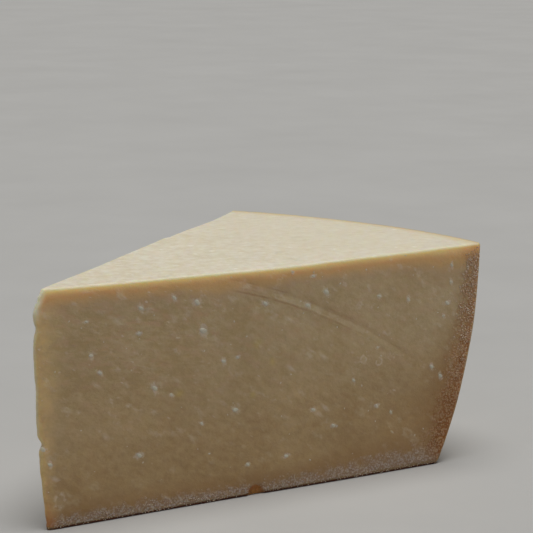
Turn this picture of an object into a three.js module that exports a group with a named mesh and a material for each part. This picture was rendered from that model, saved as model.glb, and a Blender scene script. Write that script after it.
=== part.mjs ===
// A wedge of hard aged grating cheese, one piece of paste with its own rind.
// It is a sector of the lower half of a tall drum-shaped wheel: the wheel was sliced level at its
// belly, then split from the middle outwards. Millimetres, +Z up. The wedge stands on the wheel's
// flat face. One cut face lies along X and faces -Y, the tip is at low X, and the rind of the
// wheel's side is at high X. The origin is at the bottom centre of its box.
import * as THREE from "three";

// The wheel
const bellyRadius = 226; // where the wheel is widest, at the level cut
const footRadius = 203.5; // of the side where it meets the flat face
const wedgeHeight = 105; // half the wheel's height, from the flat face to the level cut
const sideSwell = 2.1; // power of the side's curve: 2 would be an arc, 1 a cone
const rimRounding = 2.6; // of the edge between the side and the flat face

// The cuts
const wedgeAngle = THREE.MathUtils.degToRad(40.6);
const topEdgeRounding = 1.2; // wear along the edges of the level cut
const lowEdgeRounding = 0.6; // wear along the edges of the flat face
const sideEdgeCutBack = 2; // the upright edges at the rind are rounded over this length
const tipCutBack = 6; // and the tip over this one
const tipWear = 0.4; // share of the edges' rounding that the sharp tip has

// The tip, which broke instead of being sliced: it reaches past the wheel's axis
const tipStand = 0.8; // at every height
const tipReach = 4.3; // and this much more, once it has risen
const tipReachRise = 70; // height at which the reach is full
const brokenCorner = 10; // height of the corner lost at the top of the tip
const tipNicks = [
  { height: 88, width: 2.6, depth: 1.3 },
  { height: 38, width: 2.4, depth: 1.5 },
  { height: 62, width: 5.0, depth: 0.5 },
];

// Gentle unevenness of each face, as waves: length, lean from the face's first axis, height, start
const frontWaves = [
  { length: 118, lean: 0.35, height: 0.34, start: 0.4 },
  { length: 61, lean: -0.9, height: 0.16, start: 2.1 },
  { length: 31, lean: 1.2, height: 0.07, start: 4.0 },
];
const backWaves = [
  { length: 97, lean: -0.3, height: 0.4, start: 1.7 },
  { length: 54, lean: 0.8, height: 0.2, start: 5.2 },
  { length: 29, lean: 2.0, height: 0.08, start: 0.9 },
];
const topWaves = [
  { length: 140, lean: 1.1, height: 0.25, start: 3.1 },
  { length: 66, lean: 0.2, height: 0.12, start: 0.3 },
];
const rindWaves = [
  { length: 88, lean: 0.1, height: 0.22, start: 2.6 },
  { length: 43, lean: 1.4, height: 0.14, start: 4.4 },
];
const topSag = 1.1; // how far the level cut dips halfway along its front edge
const topSagReach = 22; // how far in from that edge the dip fades

// The back cut steps in near the level cut, from this far out along it
const backStep = { from: 134, to: 139, depth: 1.3 };
const backStepFoot = 78; // height at which it has faded

// The knife's crease on the front face: two lines that fall away from the tip, a band apart
const crease = { from: 86, to: 184, depth: 0.22 };
const creaseLine = { height: 101.7, fall: 0.25, bend: 0.0022 }; // the upper of the two
const creaseBand = { width: 4.9, narrowing: 0.02, lip: 1.7 };
const creaseFade = 16; // length over which the crease runs out at each end
const creaseBrow = { from: 22, full: 6 }; // the swelling over its upper line

// The chip out of the rind at the foot of the front face
const chip = { along: 103.4, halfWidth: 4.4, height: 5.2, depth: 1.0 };

// Fineness of the mesh: steps along each stretch of the outline, up the walls and across the top
const frontSteps = 54;
const rindSteps = 30;
const backSteps = 40;
const edgeSteps = 3;
const tipSteps = 6;
const wallSteps = 21;
const roundingSteps = 2;
const topSteps = 7;

const cheesePaste = new THREE.MeshStandardMaterial({
  name: "cheese_paste",
  color: 0xcdbb93,
  roughness: 0.62,
  metalness: 0,
});

// The centre of the wedge's box, counted from the wheel's axis: the wear and the unevenness of its
// faces put it a little off the middle of the plain sector
const boxCentre = new THREE.Vector2(111.66, 72.73);

// 0 up to one end, 1 from the other, smooth between; the ends may be given high end first
function smoothStep(none, full, value) {
  const t = THREE.MathUtils.clamp((value - none) / (full - none), 0, 1);
  return t * t * (3 - 2 * t);
}

function waveSum(waves, a, b) {
  return waves.reduce((sum, { length, lean, height, start }) => {
    const along = a * Math.cos(lean) + b * Math.sin(lean);
    return sum + height * Math.sin((2 * Math.PI * along) / length + start);
  }, 0);
}

// Radius of the wheel's side at a height: it swells to the belly, and its foot is rounded
function sideRadius(z) {
  const below = THREE.MathUtils.clamp(1 - z / wedgeHeight, 0, 1);
  const swell = (bellyRadius - footRadius) * below ** sideSwell;
  const under = Math.max(0, rimRounding - z);
  const rounding = rimRounding - Math.sqrt(rimRounding ** 2 - under ** 2);
  return bellyRadius - swell - rounding;
}

// How far the tip stands past the wheel's axis at a height
function reachAt(z) {
  const rise = Math.min(1, z / tipReachRise);
  const bulge = tipReach * Math.sin((rise * Math.PI) / 2) ** 1.2;
  const lost = tipReach * THREE.MathUtils.clamp((z - wedgeHeight + brokenCorner) / brokenCorner, 0, 1);
  const nicks = tipNicks.reduce(
    (sum, { height, width, depth }) => sum + depth * Math.exp(-(((z - height) / width) ** 2)),
    0,
  );
  return tipStand + bulge - lost - nicks;
}

// Height of the level cut: nearly flat, with a dip along its front edge
function topHeight(x, y) {
  const along = THREE.MathUtils.clamp(x / bellyRadius, 0, 1);
  const dip = topSag * Math.sin(Math.PI * along) * Math.exp(-Math.max(0, y) / topSagReach);
  return wedgeHeight - dip + waveSum(topWaves, x, y) * along;
}

// The crease is a low ridge along its lower line, with a fainter swelling over its upper one
function creaseRelief(x, z) {
  const run = x - crease.from;
  const overUpper = z - creaseLine.height + creaseLine.fall * run + creaseLine.bend * run ** 2;
  const overLower = overUpper + creaseBand.width - creaseBand.narrowing * run;
  const starts = smoothStep(crease.from, crease.from + creaseFade, x);
  const stops = smoothStep(crease.to, crease.to - creaseFade, x);
  const ridge =
    smoothStep(-creaseBand.lip, 0, overLower) * smoothStep(0, -2 * creaseBand.lip, overUpper);
  const above =
    smoothStep(0, creaseBand.lip, overUpper) *
    smoothStep(creaseBrow.from, creaseBrow.full, overUpper);
  return crease.depth * starts * stops * (ridge + 0.6 * above);
}

function chipRelief(x, z) {
  const near = ((x - chip.along) / chip.halfWidth) ** 2 + (z / chip.height) ** 2;
  return -chip.depth * (1 - smoothStep(0.6, 1.15, near));
}

function frontRelief(x, z) {
  return waveSum(frontWaves, x, z) + creaseRelief(x, z) + chipRelief(x, z);
}

function backRelief(out, z) {
  const stepped = smoothStep(backStep.from, backStep.to, out);
  const risen = smoothStep(backStepFoot, wedgeHeight, z);
  return waveSum(backWaves, out, z) - backStep.depth * stepped * risen;
}

// One stretch of the outline seen from above, as columns. A column gives its point at a height, how
// much of the front cut, the rind and the back cut it belongs to, and its share of the rounding
function stretch(steps, curve, from, to, wearAt = () => 1) {
  return Array.from({ length: steps }, (_, i) => {
    const t = i / steps;
    const share = (key) => THREE.MathUtils.lerp(from[key], to[key], t);
    return {
      pointAt: (z) => curve(t, cornersAt(z)),
      front: share("front"),
      rind: share("rind"),
      back: share("back"),
      wear: wearAt(t),
    };
  });
}

const front = { front: 1, rind: 0, back: 0 };
const rind = { front: 0, rind: 1, back: 0 };
const back = { front: 0, rind: 0, back: 1 };

// The corners of the outline at a height, and the directions along its two cuts
function cornersAt(z) {
  const radius = sideRadius(z);
  const tip = new THREE.Vector2(-reachAt(z), 0);
  const frontEnd = new THREE.Vector2(radius, 0);
  const backEnd = onSide(radius, wedgeAngle);
  const alongFront = new THREE.Vector2(1, 0);
  const alongBack = tip.clone().sub(backEnd).normalize();
  return { radius, tip, frontEnd, backEnd, alongFront, alongBack };
}

function between(a, b, t) {
  return a.clone().lerp(b, t);
}

// A rounded corner, as a curve that leaves a and meets b, pulled towards the corner
function roundedCorner(a, corner, b, t) {
  return between(between(a, corner, t), between(corner, b, t), t);
}

function onSide(radius, angle) {
  return new THREE.Vector2(Math.cos(angle), Math.sin(angle)).multiplyScalar(radius);
}

function moved(point, direction, distance) {
  return point.clone().addScaledVector(direction, distance);
}

function outlineColumns() {
  const cutBackAngle = (c) => sideEdgeCutBack / c.radius;
  const frontStart = (c) => moved(c.tip, c.alongFront, tipCutBack);
  const frontStop = (c) => moved(c.frontEnd, c.alongFront, -sideEdgeCutBack);
  const rindStart = (c) => onSide(c.radius, cutBackAngle(c));
  const rindStop = (c) => onSide(c.radius, wedgeAngle - cutBackAngle(c));
  const backStart = (c) => moved(c.backEnd, c.alongBack, sideEdgeCutBack);
  const backStop = (c) => moved(c.tip, c.alongBack, -tipCutBack);
  const alongFront = (t, c) => between(frontStart(c), frontStop(c), t);
  const frontEdge = (t, c) => roundedCorner(frontStop(c), c.frontEnd, rindStart(c), t);
  const alongRind = (t, c) =>
    onSide(c.radius, THREE.MathUtils.lerp(cutBackAngle(c), wedgeAngle - cutBackAngle(c), t));
  const backEdge = (t, c) => roundedCorner(rindStop(c), c.backEnd, backStart(c), t);
  const alongBack = (t, c) => between(backStart(c), backStop(c), t);
  const roundTip = (t, c) => roundedCorner(backStop(c), c.tip, frontStart(c), t);
  const wearAtTip = (t) => 1 - (1 - tipWear) * Math.sin(Math.PI * t);
  return [
    ...stretch(frontSteps, alongFront, front, front),
    ...stretch(edgeSteps, frontEdge, front, rind),
    ...stretch(rindSteps, alongRind, rind, rind),
    ...stretch(edgeSteps, backEdge, rind, back),
    ...stretch(backSteps, alongBack, back, back),
    ...stretch(tipSteps, roundTip, back, front, wearAtTip),
  ];
}

function reliefAt(column, point, z) {
  const fromAxis = point.length();
  const aroundSide = Math.atan2(point.y, point.x) * bellyRadius;
  return (
    column.front * frontRelief(point.x, z) +
    column.back * backRelief(fromAxis, z) +
    column.rind * waveSum(rindWaves, aroundSide, z)
  );
}

// One closed ring of the surface: a height for each column, drawn in from the outline by an inset
function ring(columns, heights, inset) {
  const outline = columns.map((column, i) => column.pointAt(heights[i]));
  const count = columns.length;
  return outline.map((point, i) => {
    const tangent = outline[(i + 1) % count].clone().sub(outline[(i + count - 1) % count]);
    const outwards = new THREE.Vector2(tangent.y, -tangent.x).normalize();
    const relief = reliefAt(columns[i], point, heights[i]);
    const place = moved(point, outwards, relief - inset * columns[i].wear);
    return new THREE.Vector3(place.x, place.y, heights[i]);
  });
}

// The rings from the floor up the walls, round the top edge and in across the level cut
function surfaceRings() {
  const columns = outlineColumns();
  const tops = columns.map((column) => {
    const point = column.pointAt(wedgeHeight);
    return topHeight(point.x, point.y);
  });
  const rings = [];
  for (let i = 0; i < roundingSteps; i++) {
    const turn = ((i / roundingSteps) * Math.PI) / 2;
    const rise = lowEdgeRounding * (1 - Math.cos(turn));
    rings.push(ring(columns, tops.map(() => rise), lowEdgeRounding * (1 - Math.sin(turn))));
  }
  for (let i = 0; i <= wallSteps; i++) {
    const share = (i / wallSteps) ** 1.15; // closer together at the foot, where the side turns in
    const heights = tops.map((top) =>
      THREE.MathUtils.lerp(lowEdgeRounding, top - topEdgeRounding, share),
    );
    rings.push(ring(columns, heights, 0));
  }
  for (let i = 1; i <= roundingSteps; i++) {
    const turn = ((i / roundingSteps) * Math.PI) / 2;
    const heights = tops.map((top) => top - topEdgeRounding * (1 - Math.sin(turn)));
    rings.push(ring(columns, heights, topEdgeRounding * (1 - Math.cos(turn))));
  }
  const topEdge = rings.at(-1);
  const centre = centreOf(topEdge);
  for (let i = 1; i < topSteps; i++) {
    rings.push(
      topEdge.map((point) => {
        const inner = point.clone().lerp(centre, i / topSteps);
        return inner.setZ(topHeight(inner.x, inner.y));
      }),
    );
  }
  return rings;
}

function centreOf(points) {
  const sum = points.reduce((total, point) => total.add(point), new THREE.Vector3());
  return sum.divideScalar(points.length);
}

// The closed surface: quads between neighbouring rings, and a fan at the flat face and at the top
function wedgeGeometry() {
  const rings = surfaceRings();
  const count = rings[0].length;
  const floorCentre = centreOf(rings[0]);
  const topCentre = centreOf(rings.at(-1));
  topCentre.z = topHeight(topCentre.x, topCentre.y);
  const points = [...rings.flat(), floorCentre, topCentre];
  const floorIndex = points.length - 2;
  const topIndex = points.length - 1;
  const faces = [];
  for (let level = 0; level + 1 < rings.length; level++) {
    for (let i = 0; i < count; i++) {
      const next = (i + 1) % count;
      const [a, b] = [level * count + i, level * count + next];
      const [c, d] = [b + count, a + count];
      faces.push(a, b, c, a, c, d);
    }
  }
  const lastRing = (rings.length - 1) * count;
  for (let i = 0; i < count; i++) {
    const next = (i + 1) % count;
    faces.push(floorIndex, next, i);
    faces.push(topIndex, lastRing + i, lastRing + next);
  }
  const geometry = new THREE.BufferGeometry().setFromPoints(points);
  geometry.setIndex(faces);
  geometry.computeVertexNormals();
  return geometry;
}

function cheeseWedge() {
  const mesh = new THREE.Mesh(wedgeGeometry(), cheesePaste);
  mesh.name = "cheese_wedge";
  mesh.position.set(-boxCentre.x, -boxCentre.y, 0);
  return mesh;
}

const group = new THREE.Group();
group.add(cheeseWedge());

export default group;
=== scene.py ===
# A wedge of hard aged grating cheese, one piece of paste with its own rind, on a studio floor.
# Lengths are in millimetres and are counted from the axis of the wheel that the wedge was cut
# from. A mesh is turned into metres, in the frame's own place, when it is made.
import math
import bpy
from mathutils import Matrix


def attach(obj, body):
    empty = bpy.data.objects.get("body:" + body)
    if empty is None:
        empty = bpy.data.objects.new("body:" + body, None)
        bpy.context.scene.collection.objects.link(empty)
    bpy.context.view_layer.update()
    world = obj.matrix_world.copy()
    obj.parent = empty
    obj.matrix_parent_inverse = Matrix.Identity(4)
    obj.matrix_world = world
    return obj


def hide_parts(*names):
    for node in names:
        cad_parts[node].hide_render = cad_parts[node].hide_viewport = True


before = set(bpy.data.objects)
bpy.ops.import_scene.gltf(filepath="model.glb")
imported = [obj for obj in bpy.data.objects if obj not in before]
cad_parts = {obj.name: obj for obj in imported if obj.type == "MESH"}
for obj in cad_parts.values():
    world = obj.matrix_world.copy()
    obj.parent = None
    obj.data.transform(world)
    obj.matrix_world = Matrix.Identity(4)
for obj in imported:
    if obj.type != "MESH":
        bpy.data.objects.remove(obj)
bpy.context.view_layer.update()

from types import SimpleNamespace

import bpy
import numpy as np
from mathutils.geometry import delaunay_2d_cdt

MM = 0.001
WHEEL_AXIS = np.array([-111.66, -72.73, 0.0])  # in the frame, in millimetres

# The wheel
BELLY_RADIUS = 226.0  # where the wheel is widest, at the level cut
FOOT_RADIUS = 203.5  # of the side where it meets the flat face
WEDGE_HEIGHT = 105.0
SIDE_SWELL = 2.1  # power of the side's curve: 2 would be an arc, 1 a cone
RIM_ROUNDING = 2.6

# The cuts
WEDGE_ANGLE = math.radians(40.6)
TOP_EDGE_ROUNDING = 1.2
SIDE_EDGE_CUT_BACK = 2.0
TIP_CUT_BACK = 6.0
TIP_WEAR = 0.4  # share of the top edge's rounding that the sharp tip has

# The foot: the flat face curls up a little towards its outline
FOOT_LIFT = 0.3
FOOT_CURL = 2.4  # how far in from the outline the curl reaches
LEAST_CURL = 0.12  # share of that reach left at the outline's corners
CORNER_RUN = (14.0, 8.0, 8.0)  # how far from the tip and the two rind corners it fades

# The tip, which broke instead of being sliced: it reaches past the wheel's axis
TIP_STAND = 0.8  # at every height
TIP_REACH = 4.3  # and this much more, once it has risen
TIP_REACH_RISE = 70.0
TIP_REACH_POWER = 1.2
BROKEN_CORNER = 10.0
TIP_NICKS = ((88, 2.6, 1.3), (38, 2.4, 1.5), (62, 5.0, 0.5))  # height, width, depth

# Gentle unevenness of each face, as waves: length, lean from its first axis, height, start
FRONT_WAVES = ((118, 0.35, 0.34, 0.4), (61, -0.9, 0.16, 2.1), (31, 1.2, 0.07, 4.0))
BACK_WAVES = ((97, -0.3, 0.4, 1.7), (54, 0.8, 0.2, 5.2), (29, 2.0, 0.08, 0.9))
TOP_WAVES = ((140, 1.1, 0.25, 3.1), (66, 0.2, 0.12, 0.3))
RIND_WAVES = ((88, 0.1, 0.22, 2.6), (43, 1.4, 0.14, 4.4))
TOP_SAG = 1.1
TOP_SAG_REACH = 22.0

# The back cut steps in near the level cut, from this far out along it
BACK_STEP_FROM = 134.0
BACK_STEP_TO = 139.0
BACK_STEP = 1.3
BACK_STEP_FOOT = 78.0  # height at which it has faded

# The knife's crease on the front face: two lines that fall away from the tip, a band apart
CREASE_FROM = 86.0
CREASE_TO = 184.0
CREASE_HEIGHT = 101.7
CREASE_FALL = 0.25
CREASE_BEND = 0.0022
CREASE_BAND = 4.9
CREASE_NARROWING = 0.02
CREASE_LIP = 1.7  # how wide the ridge along its lower line is
CREASE_DEPTH = 0.14
CREASE_FADE = 16.0
CREASE_SWELL = (22.0, 6.0)  # how far over it the swelling above it ends, and is still full

# The chip out of the rind at the foot of the front face
CHIP_ALONG = 103.4
CHIP_HALF_WIDTH = 4.4
CHIP_HEIGHT = 5.2
CHIP_DEPTH = 1.0

TIP_STRIP = (9.0, 18.0)  # width of the paler paste along the tip, at the foot and higher up
TIP_STRIP_RUN = (25.0, 70.0)  # between these heights it gets wider
# Paler still are the torn top corner, and the tip's very edge: distance from the tip and height,
# each as where it begins and where it is full
TORN_CORNER = ((5.5, 2.5), (90.0, 95.0))
TIP_EDGE = ((3.6, 1.8), (20.0, 60.0))

# The rind seen in section: how deep it goes at the flat face and at the wheel's side
FLOOR_RIND = (5.2, 9.0)  # at the tip, and towards the wheel's side
FLOOR_RIND_RUN = (90.0, 205.0)  # between these radii it gets deeper
FLOOR_RIND_POWER = 1.5
SIDE_RIND = (7.5, 12.0)  # at the level cut, and at the foot

# The crystals that stand out on the front face: along from the wheel's axis, height, half length
FRONT_CRYSTALS = (
    (0, 36, 1.4), (3, 29, 1.2), (21, 89, 0.8), (23, 74, 1.1), (27, 66, 1.1), (45, 27, 1.4),
    (46, 81, 1.1), (47, 92, 1.3), (53, 56, 1.5), (61, 52, 0.9), (63, 95, 1.2), (74, 92, 1.6),
    (76, 37, 0.9), (77, 79, 1.9), (87, 64, 1.2), (93, 41, 1.4), (94, 65, 0.9), (99, 15, 1.0),
    (108, 88, 1.3), (119, 16, 1.1), (122, 101, 0.8), (130, 85, 1.3), (133, 36, 1.1), (133, 98, 1.0),
    (140, 90, 1.5), (144, 27, 1.1), (155, 47, 0.9), (168, 33, 1.0), (168, 61, 0.7), (169, 85, 1.0),
    (176, 29, 0.8), (185, 82, 1.1), (199, 48, 1.2), (204, 43, 1.2), (205, 72, 0.9), (207, 78, 1.3),
    (209, 88, 1.0), (209, 96, 1.0),
)
# And on the level cut: along and in from the axis, half length
TOP_CRYSTALS = ((129, 9, 1.0), (129, 27, 1.0), (167, 27, 1.0))
CAST_FROM = (-50.0, 150.0)  # off the front face, and over the level cut
HALO_LENGTH = 2.2  # of the pale smear about each crystal, in its half lengths
HALO_WIDTH = 1.2
# Oily yellow spots in the front face: along, height, half length
OILY_SPOTS = ((65, 52, 1.8), (104, 70, 2.1), (112, 61, 1.8), (102, 47, 1.5))
# Pale rings in the front face: along, height, half width, half height
PALE_RINGS = (
    (7.0, 12.5, 2.3, 3.2),
    (160.1, 56.2, 1.5, 1.7),
    (168.9, 54.2, 1.6, 1.5),
    (175.6, 55.8, 1.5, 1.6),
)

# How the marks that the knife left in the cuts lean, and its faint drag marks by the tip
PULL_LEAN = math.radians(35.0)
DRAG_LEAN = math.radians(9.0)
LEAN_SPREAD = 0.7  # how much more or less, in radians, the smear about a crystal may lean

# Heights of the fine relief, in millimetres
SURFACE = {
    "Paste unevenness": 0.3,
    "Paste grain": 0.22,
    "Pulled ridges": 0.34,
    "Level cut unevenness": 0.12,
    "Rind crumb": 0.5,
    "Skin unevenness": 0.5,
    "Torn tip": 0.8,
    "Torn corner": 2.0,
}
# The small pieces that are strewn over the cuts: lengths in metres, half lengths for the sizes
STREWN_CRYSTALS = {
    "Per square metre": 4500.0,
    "Clearance": 5.0 * MM,
    "Smallest": 0.2 * MM,
    "Largest": 0.6 * MM,
    "Seed": 12,
}
STREWN_GRAINS = {
    "Per square metre": 1.8e6,
    "Clearance": 0.55 * MM,
    "Smallest": 0.18 * MM,
    "Largest": 0.42 * MM,
    "Sink": 0.12 * MM,
    "Seed": 5,
}

# Fineness of the mesh
STEPS = {"front": 300, "front_edge": 5, "rind": 150, "back_edge": 5, "back": 230, "tip": 14}
FOOT_STEPS = 22  # rings in the lowest 12 mm of the walls
FOOT_ZONE = 12.0
MIDDLE_STEPS = 80
BROW_STEPS = 9  # rings in the highest 6 mm
BROW_ZONE = 6.0
ROUNDING_STEPS = 4
TOP_SPACING = 1.7
FLOOR_SPACING = 5.0
TOP_MARGIN = 1.2  # how far the points in a flat keep from its ring
FLOOR_MARGIN = 3.0
CURL_RINGS = (1.0, 0.7, 0.42, 0.2, 0.05)  # places in the foot's curl, from its inner end


def smooth_step(none, full, value):
    share = np.clip((value - none) / (full - none), 0.0, 1.0)
    return share * share * (3.0 - 2.0 * share)


def wave_sum(waves, a, b):
    total = 0.0
    for length, lean, height, start in waves:
        along = a * math.cos(lean) + b * math.sin(lean)
        total = total + height * np.sin(2.0 * math.pi * along / length + start)
    return total


def side_radius(z):
    """Radius of the wheel's side at a height: it swells to the belly, and its foot is rounded."""
    below = np.clip(1.0 - z / WEDGE_HEIGHT, 0.0, 1.0)
    under = np.maximum(0.0, RIM_ROUNDING - z)
    rounding = RIM_ROUNDING - np.sqrt(RIM_ROUNDING**2 - under**2)
    return BELLY_RADIUS - (BELLY_RADIUS - FOOT_RADIUS) * below**SIDE_SWELL - rounding


def tip_reach(z):
    """How far the tip stands past the wheel's axis at a height."""
    rise = np.clip(z / TIP_REACH_RISE, 0.0, 1.0)
    bulge = TIP_REACH * np.sin(rise * math.pi / 2.0) ** TIP_REACH_POWER
    lost = TIP_REACH * np.clip((z - WEDGE_HEIGHT + BROKEN_CORNER) / BROKEN_CORNER, 0.0, 1.0)
    nicks = 0.0
    for height, width, depth in TIP_NICKS:
        nicks = nicks + depth * np.exp(-(((z - height) / width) ** 2))
    return TIP_STAND + bulge - lost - nicks


def top_height(x, y):
    """Height of the level cut: nearly flat, with a dip along its front edge."""
    along = np.clip(x / BELLY_RADIUS, 0.0, 1.0)
    dip = TOP_SAG * np.sin(math.pi * along) * np.exp(-np.maximum(0.0, y) / TOP_SAG_REACH)
    return WEDGE_HEIGHT - dip + wave_sum(TOP_WAVES, x, y) * along


def crease_lines(x, z):
    """How strongly the crease shows at x, and the height over its upper and its lower line."""
    run = x - CREASE_FROM
    upper = CREASE_HEIGHT - CREASE_FALL * run - CREASE_BEND * run**2
    lower = upper - CREASE_BAND + CREASE_NARROWING * run
    starts = smooth_step(CREASE_FROM, CREASE_FROM + CREASE_FADE, x)
    stops = smooth_step(CREASE_TO, CREASE_TO - CREASE_FADE, x)
    return starts * stops, z - upper, z - lower


def crease_relief(x, z):
    shown, over_upper, over_lower = crease_lines(x, z)
    ridge = smooth_step(-CREASE_LIP, 0.0, over_lower)
    ridge = ridge * smooth_step(0.0, -2.0 * CREASE_LIP, over_upper)
    above = smooth_step(0.0, CREASE_LIP, over_upper) * smooth_step(*CREASE_SWELL, over_upper)
    return CREASE_DEPTH * shown * (ridge + 0.6 * above)


def chip_share(x, z):
    near = ((x - CHIP_ALONG) / CHIP_HALF_WIDTH) ** 2 + (z / CHIP_HEIGHT) ** 2
    return 1.0 - smooth_step(0.6, 1.15, near)


def front_relief(x, z):
    return wave_sum(FRONT_WAVES, x, z) + crease_relief(x, z) - CHIP_DEPTH * chip_share(x, z)


def back_relief(out, z):
    stepped = smooth_step(BACK_STEP_FROM, BACK_STEP_TO, out)
    stepped = stepped * smooth_step(BACK_STEP_FOOT, WEDGE_HEIGHT, z)
    return wave_sum(BACK_WAVES, out, z) - BACK_STEP * stepped


FACES = {"front": (1, 0, 0), "rind": (0, 1, 0), "back": (0, 0, 1)}
FROM_TO = {
    "front": ("front", "front"),
    "front_edge": ("front", "rind"),
    "rind": ("rind", "rind"),
    "back_edge": ("rind", "back"),
    "back": ("back", "back"),
    "tip": ("back", "front"),
}


class Outline:
    """The wedge's outline seen from above, as columns that run round it from the tip."""

    def __init__(self):
        self.count = sum(STEPS.values())
        self.part = {}
        self.along = np.zeros(self.count)
        self.shares = np.zeros((self.count, 3))
        first = 0
        for name, steps in STEPS.items():
            here = slice(first, first + steps)
            along = np.arange(steps) / steps
            start, stop = (np.array(FACES[face], float) for face in FROM_TO[name])
            self.part[name] = here
            self.along[here] = along
            self.shares[here] = start + (stop - start) * along[:, None]
            first += steps
        middle_of_tip = np.zeros(self.count)
        middle_of_tip[self.part["tip"]] = np.sin(math.pi * self.along[self.part["tip"]])
        self.top_wear = 1.0 - (1.0 - TIP_WEAR) * middle_of_tip
        foot = self.at(np.zeros(self.count))
        corners = (np.zeros(2), on_side(FOOT_RADIUS, 0.0), on_side(FOOT_RADIUS, WEDGE_ANGLE))
        self.curl = np.ones(self.count)
        for corner, run in zip(corners, CORNER_RUN):
            share = smooth_step(0.0, run, np.linalg.norm(foot - corner, axis=-1))
            self.curl = np.minimum(self.curl, LEAST_CURL + (1.0 - LEAST_CURL) * share)

    def at(self, z):
        """The outline's points, one for each column, each at the height z of its own."""
        radius = side_radius(z)
        cut_back_angle = SIDE_EDGE_CUT_BACK / radius
        along_front = np.array([1.0, 0.0])
        tip = np.stack([-tip_reach(z), np.zeros_like(z)], axis=-1)
        front_end = on_side(radius, 0.0)
        back_end = on_side(radius, WEDGE_ANGLE)
        along_back = tip - back_end
        along_back /= np.linalg.norm(along_back, axis=-1, keepdims=True)
        front_start = tip + TIP_CUT_BACK * along_front
        front_stop = front_end - SIDE_EDGE_CUT_BACK * along_front
        rind_start = on_side(radius, cut_back_angle)
        rind_stop = on_side(radius, WEDGE_ANGLE - cut_back_angle)
        back_start = back_end + SIDE_EDGE_CUT_BACK * along_back
        back_stop = tip - TIP_CUT_BACK * along_back
        ways = {
            "front": (front_start, front_stop),
            "front_edge": (front_stop, front_end, rind_start),
            "back_edge": (rind_stop, back_end, back_start),
            "back": (back_start, back_stop),
            "tip": (back_stop, tip, front_start),
        }
        points = np.zeros((self.count, 2))
        for name, ends in ways.items():
            here = self.part[name]
            points[here] = rounded_way([end[here] for end in ends], self.along[here, None])
        here = self.part["rind"]
        turn = cut_back_angle[here]
        angle = turn + (WEDGE_ANGLE - 2.0 * turn) * self.along[here]
        points[here] = on_side(radius[here], angle)
        return points

    def ring(self, z, inset):
        """One closed ring of the surface, drawn in from the outline by an inset."""
        points = self.at(z)
        tangent = np.roll(points, -1, axis=0) - np.roll(points, 1, axis=0)
        outwards = np.stack([tangent[:, 1], -tangent[:, 0]], axis=-1)
        outwards /= np.linalg.norm(outwards, axis=-1, keepdims=True)
        x, y = points.T
        around = np.arctan2(y, x) * BELLY_RADIUS
        relief = (
            self.shares[:, 0] * front_relief(x, z)
            + self.shares[:, 1] * wave_sum(RIND_WAVES, around, z)
            + self.shares[:, 2] * back_relief(np.hypot(x, y), z)
        )
        points = points + outwards * (relief - inset)[:, None]
        return np.column_stack([points, z])


def on_side(radius, angle):
    return np.stack([radius * np.cos(angle), radius * np.sin(angle)], axis=-1)


def rounded_way(ends, t):
    """A straight line between two points, or a curve pulled towards the middle one of three."""
    if len(ends) == 2:
        return ends[0] + (ends[1] - ends[0]) * t
    first = ends[0] + (ends[1] - ends[0]) * t
    second = ends[1] + (ends[2] - ends[1]) * t
    return first + (second - first) * t


def wedge_rings(outline):
    """The rings from the flat face up the walls and round the top edge, with each ring's share
    of the level cut."""
    rings = []
    for share in CURL_RINGS:
        z = np.full(outline.count, FOOT_LIFT * (1.0 - share) ** 2)
        rings.append((outline.ring(z, FOOT_CURL * share * outline.curl), 0.0))
    outer = outline.at(np.full(outline.count, WEDGE_HEIGHT))
    tops = top_height(*outer.T)
    foot = FOOT_ZONE / WEDGE_HEIGHT
    brow = 1.0 - BROW_ZONE / WEDGE_HEIGHT
    shares = np.concatenate([
        np.linspace(0.0, foot, FOOT_STEPS, endpoint=False),
        np.linspace(foot, brow, MIDDLE_STEPS, endpoint=False),
        np.linspace(brow, 1.0, BROW_STEPS),
    ])
    for share in shares:
        z = FOOT_LIFT + (tops - TOP_EDGE_ROUNDING - FOOT_LIFT) * share
        rings.append((outline.ring(z, 0.0), 0.0))
    for step in range(1, ROUNDING_STEPS + 1):
        turn = step / ROUNDING_STEPS * math.pi / 2.0
        z = tops - TOP_EDGE_ROUNDING * (1.0 - math.sin(turn))
        inset = TOP_EDGE_ROUNDING * (1.0 - math.cos(turn)) * outline.top_wear
        rings.append((outline.ring(z, inset), step / ROUNDING_STEPS))
    return rings


def points_inside(spacing, margin, radius):
    """A grid of points in rows, each row shifted by half a step, clear of the sector's edges."""
    rise = spacing * math.sqrt(0.75)
    columns = int(radius / spacing) + 2
    rows = int(radius * math.sin(WEDGE_ANGLE) / rise) + 2
    column, row = np.meshgrid(np.arange(columns), np.arange(rows))
    x = (column + 0.5 * (row % 2)).ravel() * spacing
    y = row.ravel() * rise
    from_back = x * math.sin(WEDGE_ANGLE) - y * math.cos(WEDGE_ANGLE)
    inside = (y > margin) & (from_back > margin) & (np.hypot(x, y) < radius - margin)
    return np.stack([x[inside], y[inside]], axis=-1)


def cap_faces(ring, inner):
    """Triangles, all facing up, between a ring's points and the points inside it."""
    flat = np.vstack([ring[:, :2], inner]).tolist()
    loop = list(range(len(ring)))
    _, _, faces, origins, _, _ = delaunay_2d_cdt(flat, [], [loop], 1, 1e-6)
    return [[origins[corner][0] for corner in face] for face in faces]


def wall_faces(count, levels):
    corner = np.arange(count)
    after = np.roll(corner, -1)
    faces = []
    for level in range(levels - 1):
        low, high = level * count, (level + 1) * count
        faces.append(np.stack([low + corner, low + after, high + after, high + corner], axis=-1))
    return np.concatenate(faces).tolist()


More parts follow.
